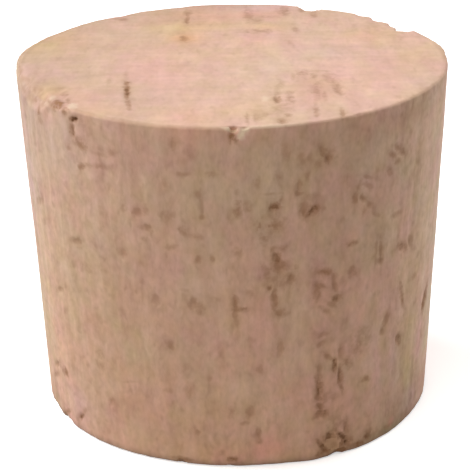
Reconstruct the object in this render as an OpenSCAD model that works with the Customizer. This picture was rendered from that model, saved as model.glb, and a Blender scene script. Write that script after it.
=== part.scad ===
// Tapered natural cork stopper.
// One plug cut from a single block of bark, modelled standing on its narrow end.
// Millimetres, Z up. The origin is the centre of the narrow face, and the front
// of the plug looks along -Y. The bark grew outwards along Y, so its breathing
// pores run that way: they open as dots at the front and as dashes at the sides.

/* [Plug] */
// Diameter of the wide upper face, measured to its sharp corner
top_d = 45; // [42:0.5:60]
// Diameter of the narrow lower face, measured to its sharp corner
bottom_d = 41.5; // [34:0.5:44]
// Height from the lower face to the upper face
height = 37; // [30:0.5:60]
// Radius on the upper edge
top_edge_r = 0.35; // [0.2:0.05:0.8]
// Radius on the lower edge
bottom_edge_r = 0.45; // [0.2:0.05:0.8]

/* [Pores] */
// Depth of the pores in the flank
pore_depth = 0.6; // [0.3:0.1:2]
// Number of pores on the rear half of the flank
rear_pores = 34; // [0:1:60]
// Width of a middling pore on the rear half
rear_pore_w = 0.75; // [0.4:0.05:1.5]
// Depth of the pores and slits in the two faces
face_pore_depth = 0.9; // [0.3:0.1:2]
// Number of pores in the lower face
lower_pores = 16; // [0:1:40]
// Width of a middling pore in the lower face
lower_pore_w = 0.6; // [0.3:0.1:1.2]

/* [Hidden] */
$fn = 48;
top_r = top_d / 2;
bottom_r = bottom_d / 2;
// Angle by which the flank leans outwards on its way up
taper = atan((top_r - bottom_r) / height);
// Distance by which every cutter stands outside the surface it cuts
clear = 1;
// Steps that spread a scatter evenly, as an angle and as a share of a span
golden_angle = 137.5;
golden_share = 0.618;

// Pores in the front half of the flank, one to a row: angle from the front
// towards +X, share of the height, width, length, and lean of the length from
// upright towards +X.
front_pores = [
    [-68.5, 0.123, 0.5, 2, 62],
    [-66.5, 0.668, 0.9, 2, 67],
    [-66.5, 0.166, 0.6, 1.9, 60],
    [-57.8, 0.433, 0.5, 1.9, 62],
    [-52.9, 0.05, 0.5, 1.2, 50],
    [-47.2, 0.612, 0.5, 1.9, 72],
    [-45.1, 0.937, 0.7, 1.7, 3],
    [-44, 0.971, 0.5, 1.1, 67],
    [-38, 0.149, 0.6, 1, 40],
    [-30.7, 0.619, 0.8, 0.9, 0],
    [-25.6, 0.749, 0.8, 1.1, 20],
    [-23.5, 0.706, 0.6, 1.1, 90],
    [-21.8, 0.495, 0.8, 1.2, 0],
    [-18.1, 0.365, 0.7, 0.9, 0],
    [-15, 0.949, 0.6, 1.1, 10],
    [-11.4, 0.5, 0.7, 1.4, 0],
    [-11.4, 0.106, 0.5, 0.7, 0],
    [-9.6, 0.625, 0.6, 0.9, 0],
    [-9.1, 0.813, 0.5, 0.6, 0],
    [-8.4, 0.749, 0.5, 0.6, 0],
    [-8.3, 0.776, 0.4, 1.9, 0],
    [-5.8, 0.63, 0.5, 0.7, 0],
    [-0.3, 0.501, 0.6, 1.5, 0],
    [-0.3, 0.467, 0.5, 1.2, 0],
    [3.3, 0.171, 0.8, 1.2, 0],
    [5.6, 0.108, 0.6, 1.1, 0],
    [6.2, 0.3, 0.7, 0.8, 0],
    [8.5, 0.541, 0.4, 0.5, 0],
    [10, 0.773, 0.9, 1, 80],
    [10, 0.514, 0.5, 2.6, 0],
    [10.2, 0.63, 0.8, 1.3, -25],
    [11.3, 0.595, 0.8, 1.8, 90],
    [11.4, 0.36, 0.7, 1.7, 0],
    [11.5, 0.471, 0.7, 1.2, 60],
    [11.7, 0.792, 0.5, 0.6, 0],
    [14.5, 0.56, 0.7, 0.8, 0],
    [16.2, 0.806, 0.6, 0.7, 90],
    [16.3, 0.825, 0.6, 1.5, 0],
    [17.4, 0.76, 0.5, 1.3, 0],
    [20.1, 0.752, 0.8, 1.3, 50],
    [22.3, 0.917, 0.7, 1.3, -30],
    [22.3, 0.53, 0.5, 1.4, -65],
    [22.7, 0.208, 0.7, 2.6, -4],
    [22.9, 0.271, 0.5, 2.6, 2],
    [23, 0.168, 0.6, 1.2, -55],
    [23.3, 0.141, 0.9, 1.4, 90],
    [23.4, 0.568, 0.5, 1.6, 90],
    [23.5, 0.357, 0.6, 1.5, 70],
    [23.8, 0.381, 0.6, 1.2, 90],
    [24, 0.035, 0.6, 2, -35],
    [24.1, 0.895, 0.9, 1.1, 0],
    [25.9, 0.306, 0.5, 1.3, -60],
    [25.9, 0.065, 1, 1.2, 60],
    [26, 0.468, 0.5, 1.4, -60],
    [26.5, 0.046, 0.8, 1.2, -50],
    [26.8, 0.527, 0.6, 2.2, -12],
    [27.4, 0.281, 0.6, 1.7, 0],
    [27.6, 0.484, 0.8, 1, 80],
    [29.1, 0.252, 0.5, 1.9, 0],
    [29.2, 0.314, 0.5, 1.6, 0],
    [30.3, 0.055, 0.6, 2, -50],
    [31.3, 0.079, 0.6, 1.7, 0],
    [31.6, 0.033, 0.7, 1, -30],
    [32, 0.549, 0.8, 1, 0],
    [32.3, 0.768, 0.8, 1.1, 0],
    [34.7, 0.757, 0.6, 1.2, -60],
    [36, 0.815, 0.4, 1.6, -65],
    [36.4, 0.79, 0.5, 1.5, -60],
    [37.2, 0.733, 0.6, 1.3, -40],
    [38.7, 0.027, 0.7, 1.1, -60],
    [41.8, 0.59, 0.5, 2.6, -6],
    [42, 0.557, 0.7, 0.8, -30],
    [43.7, 0.811, 0.7, 0.9, -30],
    [43.9, 0.336, 0.8, 0.9, 0],
    [44.3, 0.857, 0.6, 1, -60],
    [45.4, 0.365, 0.8, 1.5, 10],
    [46.5, 0.871, 0.6, 1.1, -50],
    [46.6, 0.83, 0.6, 0.9, 80],
    [48.4, 0.852, 0.6, 1.1, -50],
    [51.2, 0.568, 0.9, 1.7, -65],
    [51.7, 0.284, 0.8, 1.4, -30],
    [54.8, 0.576, 0.9, 1.2, -20],
    [68.5, 0.345, 0.9, 3, 30],
];

// Pores in the upper face: shares of the radius across and back, width, length
// along the growth of the bark, and turn.
upper_pores = [
    [-0.471, -0.45, 0.5, 4.6, 4],
    [0.19, -0.615, 0.7, 2.4, 0],
    [0.205, -0.915, 0.8, 1.5, 0],
    [0.095, -0.87, 0.5, 3.4, 0],
    [0.467, -0.813, 0.5, 2.4, 0],
    [0.467, -0.498, 0.8, 3.6, 8],
    [0.435, -0.32, 0.8, 4.5, 4],
    [-0.222, 0.72, 0.5, 3.4, 0],
    [0.311, 0.51, 0.6, 1.8, 0],
    [0.41, 0.765, 0.7, 2.2, 0],
    [-0.23, 0.375, 1, 2.3, 0],
];

// Crumbled spots on the upper edge: angle from the front, width and depth.
upper_chips = [
    [0, 0.7, 0.8],
    [2.2, 1.2, 0.45],
    [-47.5, 1.3, 0.3],
    [-52.2, 1.4, 0.4],
    [-61, 1.2, 0.3],
    [-72, 14, 0.6],
    [-92, 9, 0.35],
    [32, 1.2, 0.3],
    [119.4, 1.7, 2],
    [123.3, 4.8, 1.15],
    [131.3, 4.2, 0.85],
    [138.8, 3.6, 0.5],
    [155.6, 1.4, 1.9],
    [156.4, 3, 0.9],
];

// Crumbled spots on the lower edge, given in the same way.
lower_chips = [
    [-2, 1.4, 0.3],
    [-16.7, 1.4, 0.35],
    [-62.5, 4, 0.5],
    [-72, 5, 0.55],
    [28, 1.8, 0.25],
    [143, 2.6, 0.5],
    [-151, 2, 0.6],
];

// Radius of the flank at height z.
function flank_r(z) = bottom_r + (top_r - bottom_r) * z / height;

// The part of x that follows the decimal point.
function fraction(x) = x - floor(x);

// A value from 0 to 1 that looks unordered in i; each key gives another row of them.
function scatter(i, key) = fraction(1000 * sin(71 * i + 37 * key));

// Lens outline: two equal arcs that meet in a point at each end of the length.
module lens(width, length) {
    arc_r = (length * length + width * width) / (4 * width);
    intersection() {
        translate([width / 2 - arc_r, 0]) circle(arc_r);
        translate([arc_r - width / 2, 0]) circle(arc_r);
    }
}

// Half of the section: the flank runs tangent into a round at each edge.
module half_section() {
    foot_x = bottom_r - bottom_edge_r * (1 - sin(taper)) / cos(taper);
    rim_x = top_r - top_edge_r * (1 + sin(taper)) / cos(taper);
    rim_z = height - top_edge_r;
    polygon([
        [0, 0],
        [foot_x, 0],
        [foot_x + bottom_edge_r * cos(taper), bottom_edge_r * (1 - sin(taper))],
        [rim_x + top_edge_r * cos(taper), rim_z - top_edge_r * sin(taper)],
        [rim_x, height],
        [0, height],
    ]);
    translate([foot_x, bottom_edge_r]) circle(bottom_edge_r);
    translate([rim_x, rim_z]) circle(top_edge_r);
}

module plug() {
    rotate_extrude($fn = 144) half_section();
}

// Cutter for one pore, sunk square into the flank.
module flank_pore(angle, share, width, length, lean) {
    z = share * height;
    rotate([0, 0, angle])
        translate([0, -flank_r(z) - clear, z])
            rotate([-90, 0, 0])
                rotate([0, 0, lean])
                    linear_extrude(pore_depth + clear) lens(width, length);
}

module front_pore_cutters() {
    for (p = front_pores)
        flank_pore(p[0], p[1], p[2], p[3], p[4]);
}

// Loose scatter over the rear half. A pore that is cut along its length, at the
// sides, is drawn out level into a dash.
module rear_pore_cutters() {
    for (i = [0 : 1 : rear_pores - 1]) {
        angle = 90 + 180 * fraction(i * golden_share + 0.07 * scatter(i, 1));
        share = 0.06 + 0.88 * (i + scatter(i, 2)) / rear_pores;
        width = rear_pore_w * (0.6 + 0.8 * scatter(i, 3));
        drawn_out = 1 + 0.6 * scatter(i, 4) + 1.5 * pow(sin(angle), 4);
        flank_pore(angle, share, width, width * drawn_out, 90 * pow(sin(angle), 2));
    }
}

// Cutter for one slit, sunk from a face that lies in z = 0.
module face_pore(x, y, width, length, turn) {
    translate([x, y, -face_pore_depth])
        rotate([0, 0, turn])
            linear_extrude(face_pore_depth + clear) lens(width, length);
}

module upper_pore_cutters() {
    for (p = upper_pores)
        translate([0, 0, height])
            face_pore(p[0] * top_r, p[1] * top_r, p[2], p[3], p[4]);
}

// Loose spiral scatter that leaves the middle of the lower face whole.
module lower_pore_cutters() {
    mirror([0, 0, 1])
        for (i = [0 : 1 : lower_pores - 1]) {
            angle = i * golden_angle + 50 * scatter(i, 5);
            out = 0.88 * bottom_r * sqrt((i + 1) / lower_pores);
            width = lower_pore_w * (0.6 + 0.8 * scatter(i, 6));
            length = width * (1.5 + 3 * scatter(i, 7));
            face_pore(out * cos(angle), out * sin(angle), width, length, 0);
        }
}

// Cutter for one chip: a ball that bites across the corner at radius r, height z.
// It leaves a bite of the given width along the edge and depth from the corner.
module chip(r, z, angle, width, depth, outward) {
    ball_r = (width * width / 4 + depth * depth) / (2 * depth);
    out = (ball_r - depth) * sin(45);
    rotate([0, 0, angle])
        translate([0, -r - out, z + outward * out])
            sphere(ball_r, $fn = 32);
}

module chip_cutters() {
    for (c = upper_chips)
        chip(top_r, height, c[0], c[1], c[2], 1);
    for (c = lower_chips)
        chip(bottom_r, 0, c[0], c[1], c[2], -1);
}

module stopper() {
    color([0.84, 0.68, 0.55])
        difference() {
            plug();
            front_pore_cutters();
            rear_pore_cutters();
            upper_pore_cutters();
            lower_pore_cutters();
            chip_cutters();
        }
}

stopper();
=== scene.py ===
import math

import bpy
import numpy as np
from mathutils import Matrix, Vector


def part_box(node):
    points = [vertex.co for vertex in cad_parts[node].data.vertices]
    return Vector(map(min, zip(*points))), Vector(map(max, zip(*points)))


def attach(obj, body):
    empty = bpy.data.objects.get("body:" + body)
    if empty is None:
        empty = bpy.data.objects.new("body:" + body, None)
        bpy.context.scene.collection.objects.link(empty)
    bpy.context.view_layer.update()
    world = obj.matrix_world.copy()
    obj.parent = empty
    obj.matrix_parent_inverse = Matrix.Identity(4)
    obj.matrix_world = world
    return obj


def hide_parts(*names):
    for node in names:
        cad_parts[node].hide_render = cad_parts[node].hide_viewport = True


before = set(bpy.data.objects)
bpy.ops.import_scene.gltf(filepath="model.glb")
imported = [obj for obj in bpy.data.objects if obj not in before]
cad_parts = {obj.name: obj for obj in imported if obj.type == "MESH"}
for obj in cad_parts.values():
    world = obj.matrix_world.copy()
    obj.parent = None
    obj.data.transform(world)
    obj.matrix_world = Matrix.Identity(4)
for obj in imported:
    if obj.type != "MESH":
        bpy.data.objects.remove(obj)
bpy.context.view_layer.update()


# ------------------------------------------------------------------ the cork plug
# One plug of natural cork, punched out of the bark across its growth, ground to a taper
# and cut flat at both ends. Its bare skin is pitted with open pores, and both edges have
# worn and crumbled here and there. It stands loose on its narrow face.

# Everything is worked out in millimetres and goes into the mesh in metres.
METRES = 0.001
low_corner, high_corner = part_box("stopper")
height = (high_corner[2] - low_corner[2]) / METRES
top_r = 22.5
bottom_r = 20.75
top_edge_r = 0.35
bottom_edge_r = 0.45
taper = math.atan((top_r - bottom_r) / height)

# Where the plug is out of round at the upper and the lower edge. The swells fade to none
# at a height on the flank, and leave the steady inner share of each face alone.
rim_swells = [
    # angle from the front towards +X, spread in degrees, change of the radius
    (-99, 13, 0.5),
    (-115, 5, 0.15),
    (100, 6, 0.25),
    (-146, 5, -0.3),
    (-172, 5, 0.2),
    (151, 4, -0.15),
    (165, 5, 0.25),
]
foot_swells = [
    (-66, 8, -0.1),
    (21, 3, 0.15),
    (35, 22, 0.5),
]
rim_swell_fade = 14
foot_swell_fade = 12
steady_share = 0.8

# The wear of the upper edge: rounded most at one angle and less to both sides of it,
# unevenly.
worn_angle = -67
worn_spread = 21
worn_edge_r = 2.2
wear_roughness = 0.5
wear_grain = (1.8, 1.8, 9)
tiny = 1e-6

# The relief of the growth, as heights and grains along X, Y and Z, and how far the whole
# skin is set in, so that the relief stays within the size of the plug.
ring_relief = 0.035
ring_grain = (6, 0.7, 25)
fibre_relief = 0.025
fibre_grain = (0.7, 0.7, 6)
inset = 0.06


def smooth_step(value, start, end):
    """0 before start and 1 after end, along 3t^2 - 2t^3 between them."""
    t = np.clip((value - start) / (end - start), 0, 1)
    return t * t * (3 - 2 * t)


# Odd numbers that scramble the place of a cell, always in the same way.
cell_weights = (12.9898, 78.233, 37.719)
key_weight = 17.17
long_multiple = 43758.5453


def cell_values(cells, key):
    """A value from 0 to 1 for each whole-numbered cell: the decimals of a long multiple
    of the sine of a weighted sum of the cell's three numbers and the key."""
    blend = sum(cells[..., axis] * weight for axis, weight in enumerate(cell_weights))
    return np.sin(blend + key * key_weight) * long_multiple % 1.0


def soft_noise(points, cell, key):
    """Smooth noise from -1 to 1. Each point takes the values at the eight corners of its
    cell, blended along each axis by 3t^2 - 2t^3."""
    place = points / np.asarray(cell, dtype=float)
    low = np.floor(place)
    t = smooth_step(place - low, 0, 1)
    total = 0
    for corner in np.ndindex(2, 2, 2):
        weight = np.prod(np.where(corner, t, 1 - t), axis=-1)
        total = total + weight * cell_values(low + corner, key)
    return 2 * total - 1


def section(arc_points=24):
    """Half of the plug's section from the middle of the lower face to the middle of the
    upper one: a flat, a round tangent to flat and flank, the sloping flank, a round and
    a flat. Returns the points (radius, height) and the outward normals."""
    foot_x = bottom_r - bottom_edge_r * (1 - math.sin(taper)) / math.cos(taper)
    rim_x = top_r - top_edge_r * (1 + math.sin(taper)) / math.cos(taper)
    low_arc = np.linspace(-math.pi / 2, -taper, arc_points)
    high_arc = np.linspace(-taper, math.pi / 2, arc_points)
    tilt = np.concatenate([[-math.pi / 2], low_arc, high_arc, [math.pi / 2]])
    out = np.stack([np.cos(tilt), np.sin(tilt)], axis=1)
    points = np.concatenate(
        [
            [[0, 0]],
            [foot_x, bottom_edge_r] + bottom_edge_r * out[1 : arc_points + 1],
            [rim_x, height - top_edge_r] + top_edge_r * out[arc_points + 1 : -1],
            [[0, height]],
        ]
    )
    return points, out


# How close the rows of the mesh stand: on each face, on the flank, and as an addition
# with its reach at each edge.
lower_face_rows = 0.9
upper_face_rows = 2.1
flank_rows = 3.2
foot_crowd, foot_crowd_reach = 4.5, 0.9
rim_crowd, rim_crowd_reach = 5.5, 1.1
fine_steps = 8000


def crowded_rows(points, rows):
    """Places along the section, as lengths from its start. Rows stand close on the flank,
    closer still at the two edges and wider towards the middle of each face: the running
    sum of the wanted closeness is cut into equal shares."""
    lengths = np.concatenate([[0], np.cumsum(np.hypot(*np.diff(points, axis=0).T))])
    fine = np.linspace(0, lengths[-1], fine_steps)
    foot = lengths[len(points) // 4]
    rim = lengths[3 * len(points) // 4]
    closeness = np.where(fine > rim, upper_face_rows, flank_rows)
    closeness = np.where(fine < foot, lower_face_rows, closeness)
    closeness = closeness + foot_crowd * np.exp(-(((fine - foot) / foot_crowd_reach) ** 2))
    closeness = closeness + rim_crowd * np.exp(-(((fine - rim) / rim_crowd_reach) ** 2))
    share = np.cumsum(closeness)
    share = (share - share[0]) / (share[-1] - share[0])
    wanted = np.linspace(0, 1, rows + 2)[1:-1]
    return lengths, np.interp(wanted, share, fine)


# The mesh has columns round the axis, a little closer together at the front than at the
# rear, and rows along the section.
columns = 480
rows = 205
front_crowding = 0.15
even_turn = np.linspace(0, 2 * math.pi, columns, endpoint=False)
turn = even_turn - front_crowding * np.sin(even_turn)


def revolved(radial, axial):
    """Points of a surface of revolution, row by row: the radial value times the sine and
    minus the cosine of the turn, and the axial value as the height. The turn starts at
    the front, which is -Y, and runs towards +X."""
    x = np.outer(radial, np.sin(turn))
    y = np.outer(radial, -np.cos(turn))
    z = np.outer(axial, np.ones(columns))
    return np.stack([x, y, z], axis=-1)


outline, outline_out = section()
lengths, row_places = crowded_rows(outline, rows)
row_r, row_z, row_out, row_up = (
    np.interp(row_places, lengths, values) for values in (*outline.T, *outline_out.T)
)
ideal = revolved(row_r, row_z)
facing = revolved(row_out, row_up)


def bearing_from(points, angle):
    """Degrees round the axis from the given angle to each point, from -180 to 180."""
    around = np.degrees(np.arctan2(points[..., 0], -points[..., 1]))
    return (around - angle + 180) % 360 - 180


def out_of_round(points, swells, r, fade, z):
    """Moves the edge at radius r and height z out or in by the sum of bell curves round
    it. The move fades along the flank, to none at the height of fade, and over the outer
    fifth of the face."""
    change = 0
    for angle, spread, size in swells:
        change = change + size * np.exp(-((bearing_from(points, angle) / spread) ** 2))
    out = np.hypot(points[..., 0], points[..., 1])
    change = change * smooth_step(points[..., 2], fade, z)
    change = change * smooth_step(out / r, steady_share, 1)
    moved = points.copy()
    moved[..., :2] *= (1 + change / out)[..., None]
    return moved


def wear_edge(points):
    """Rounds the upper edge off where it is worn: a point outside the arc that fits the
    corner moves in to it. The arc's radius is a bell curve round the worn angle, made
    uneven by noise."""
    away = bearing_from(points, worn_angle) / worn_spread
    arc_r = worn_edge_r * np.exp(-(away**2)) + tiny
    arc_r = arc_r * (1 + wear_roughness * soft_noise(points, wear_grain, 12))
    out = np.hypot(points[..., 0], points[..., 1])
    past_r = out - (top_r - arc_r)
    past_z = points[..., 2] - (height - arc_r)
    reach = np.hypot(past_r, past_z)
    outside = (past_r > 0) & (past_z > 0) & (reach > arc_r)
    pull = np.where(outside, arc_r / np.maximum(reach, tiny), 1)
    moved = points.copy()
    moved[..., :2] *= (np.where(outside, top_r - arc_r + past_r * pull, out) / out)[..., None]
    moved[..., 2] = np.where(outside, height - arc_r + past_z * pull, points[..., 2])
    return moved


# Cork breathes through channels that run outwards through the bark, along Y here. The
# cut opens them as dark pits at the front, as dashes at the sides and as slits in the
# two faces. Angles are counted from the front towards +X, and leans from upright
# towards +X.
front_pores = [
    # angle, share of height, width, length, lean, darkness
    (-68.5, 0.123, 0.5, 2.0, 62, 0.6),
    (-66.5, 0.668, 0.9, 2.0, 67, 0.45),
    (-66.5, 0.166, 0.6, 1.9, 60, 0.65),
    (-57.8, 0.433, 0.5, 1.9, 62, 0.5),
    (-52.9, 0.05, 0.5, 1.2, 50, 1.0),
    (-47.2, 0.612, 0.5, 1.9, 72, 0.55),
    (-45.1, 0.937, 0.7, 1.7, 3, 0.95),
    (-44, 0.971, 0.5, 1.1, 67, 1.3),
    (-38, 0.149, 0.6, 1.0, 40, 0.45),
    (-30.7, 0.619, 0.8, 0.9, 0, 0.5),
    (-25.6, 0.749, 0.8, 1.1, 20, 0.5),
    (-23.5, 0.706, 0.6, 1.1, 90, 0.5),
    (-21.8, 0.495, 0.8, 1.2, 0, 0.4),
    (-18.1, 0.365, 0.7, 0.9, 0, 0.65),
    (-15, 0.949, 0.6, 1.1, 10, 0.5),
    (-11.4, 0.5, 0.7, 1.4, 0, 0.55),
    (-11.4, 0.106, 0.5, 0.7, 0, 0.5),
    (-9.6, 0.625, 0.6, 0.9, 0, 0.6),
    (-9.1, 0.813, 0.5, 0.6, 0, 0.5),
    (-8.4, 0.749, 0.5, 0.6, 0, 0.55),
    (-8.3, 0.776, 0.4, 1.9, 0, 0.3),
    (-5.8, 0.63, 0.5, 0.7, 0, 0.5),
    (-0.3, 0.501, 0.6, 1.5, 0, 0.75),
    (-0.3, 0.467, 0.5, 1.2, 0, 0.5),
    (3.3, 0.171, 0.8, 1.2, 0, 0.5),
    (5.6, 0.108, 0.6, 1.1, 0, 0.6),
    (6.2, 0.3, 0.7, 0.8, 0, 0.4),
    (8.5, 0.541, 0.4, 0.5, 0, 0.8),
    (10, 0.773, 0.9, 1.0, 80, 0.95),
    (10, 0.514, 0.5, 2.6, 0, 0.5),
    (10.2, 0.63, 0.8, 1.3, -25, 0.85),
    (11.3, 0.595, 0.8, 1.8, 90, 0.5),
    (11.4, 0.36, 0.7, 1.7, 0, 0.5),
    (11.5, 0.471, 0.7, 1.2, 60, 0.45),
    (11.7, 0.792, 0.5, 0.6, 0, 0.5),
    (14.5, 0.56, 0.7, 0.8, 0, 0.65),
    (16.2, 0.806, 0.6, 0.7, 90, 0.7),
    (16.3, 0.825, 0.6, 1.5, 0, 0.55),
    (17.4, 0.76, 0.5, 1.3, 0, 0.45),
    (20.1, 0.752, 0.8, 1.3, 50, 0.95),
    (22.3, 0.917, 0.7, 1.3, -30, 0.6),
    (22.3, 0.53, 0.5, 1.4, -65, 0.5),
    (22.7, 0.208, 0.7, 2.6, -4, 0.95),
    (22.9, 0.271, 0.5, 2.6, 2, 0.4),
    (23, 0.168, 0.6, 1.2, -55, 0.7),
    (23.3, 0.141, 0.9, 1.4, 90, 0.8),
    (23.4, 0.568, 0.5, 1.6, 90, 0.5),
    (23.5, 0.357, 0.6, 1.5, 70, 0.5),
    (23.8, 0.381, 0.6, 1.2, 90, 0.5),
    (24, 0.035, 0.6, 2.0, -35, 0.95),
    (24.1, 0.895, 0.9, 1.1, 0, 0.7),
    (25.9, 0.306, 0.5, 1.3, -60, 0.55),
    (25.9, 0.065, 1.0, 1.2, 60, 0.9),
    (26, 0.468, 0.5, 1.4, -60, 0.5),
    (26.5, 0.046, 0.8, 1.2, -50, 0.25),
    (26.8, 0.527, 0.6, 2.2, -12, 0.55),
    (27.4, 0.281, 0.6, 1.7, 0, 1.0),
    (27.6, 0.484, 0.8, 1.0, 80, 0.8),
    (29.1, 0.252, 0.5, 1.9, 0, 0.75),
    (29.2, 0.314, 0.5, 1.6, 0, 0.5),
    (30.3, 0.055, 0.6, 2.0, -50, 1.0),
    (31.3, 0.079, 0.6, 1.7, 0, 0.6),
    (31.6, 0.033, 0.7, 1.0, -30, 1.1),
    (32, 0.549, 0.8, 1.0, 0, 0.6),
    (32.3, 0.768, 0.8, 1.1, 0, 0.6),
    (34.7, 0.757, 0.6, 1.2, -60, 0.75),
    (36, 0.815, 0.4, 1.6, -65, 0.45),
    (36.4, 0.79, 0.5, 1.5, -60, 0.45),
    (37.2, 0.733, 0.6, 1.3, -40, 0.5),
    (38.7, 0.027, 0.7, 1.1, -60, 0.85),
    (41.8, 0.59, 0.5, 2.6, -6, 0.6),
    (42, 0.557, 0.7, 0.8, -30, 0.55),
    (43.7, 0.811, 0.7, 0.9, -30, 0.45),
    (43.9, 0.336, 0.8, 0.9, 0, 0.5),
    (44.3, 0.857, 0.6, 1.0, -60, 0.6),
    (45.4, 0.365, 0.8, 1.5, 10, 0.5),
    (46.5, 0.871, 0.6, 1.1, -50, 0.6),
    (46.6, 0.83, 0.6, 0.9, 80, 0.5),
    (48.4, 0.852, 0.6, 1.1, -50, 0.65),
    (51.2, 0.568, 0.9, 1.7, -65, 0.8),
    (51.7, 0.284, 0.8, 1.4, -30, 0.85),
    (54.8, 0.576, 0.9, 1.2, -20, 0.4),
    (68.5, 0.345, 0.9, 3.0, 30, 0.75),
]
upper_pores = [
    # shares of the radius across and back, width, length, turn, darkness
    (-0.471, -0.45, 0.5, 4.6, 4, 0.9),
    (0.19, -0.615, 0.7, 2.4, 0, 0.75),
    (0.205, -0.915, 0.8, 1.5, 0, 0.6),
    (0.095, -0.87, 0.5, 3.4, 0, 0.2),
    (0.467, -0.813, 0.5, 2.4, 0, 0.6),
    (0.467, -0.498, 0.8, 3.6, 8, 0.35),
    (0.435, -0.32, 0.8, 4.5, 4, 0.3),
    (-0.222, 0.72, 0.5, 3.4, 0, 0.65),
    (0.311, 0.51, 0.6, 1.8, 0, 0.5),
    (0.41, 0.765, 0.7, 2.2, 0, 0.55),
    (-0.23, 0.375, 1.0, 2.3, 0, 0.6),
]
pore_depth = 0.6
face_pore_depth = 0.9

# The pores of the rear half and of the lower face, scattered evenly: how many, how wide
# and how dark, and what share of the height or of the radius they keep to.
rear_pores = 34
rear_pore_w = 0.75
rear_darkness = 0.6
lower_pores = 16
lower_pore_w = 0.6
lower_darkness = 0.6
rear_start, rear_reach = 0.06, 0.88
rear_jitter = 0.07
lower_reach = 0.88
lower_jitter = 50
smallest, size_range = 0.6, 0.8
golden_angle = 137.5
golden_share = 0.618

# Crumbled spots on the edges.
upper_chips = [
    # angle, width along the edge, depth from the corner
    (0, 0.7, 0.8),
    (2.2, 1.2, 0.45),
    (-47.5, 1.3, 0.3),
    (-52.2, 1.4, 0.4),
    (-61, 1.2, 0.3),
    (32, 1.2, 0.3),
    (119.4, 1.7, 2.0),
    (123.3, 4.8, 1.15),
    (131.3, 4.2, 0.85),
    (138.8, 3.6, 0.5),
    (155.6, 1.4, 1.9),
    (156.4, 3.0, 0.9),
]
lower_chips = [
    (-2, 1.4, 0.3),
    (-16.7, 1.4, 0.35),
    (-62.5, 4.0, 0.5),
    (-72, 5, 0.55),
    (28, 1.8, 0.25),
    (143, 2.6, 0.5),
    (-151, 2.0, 0.6),
]

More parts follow.
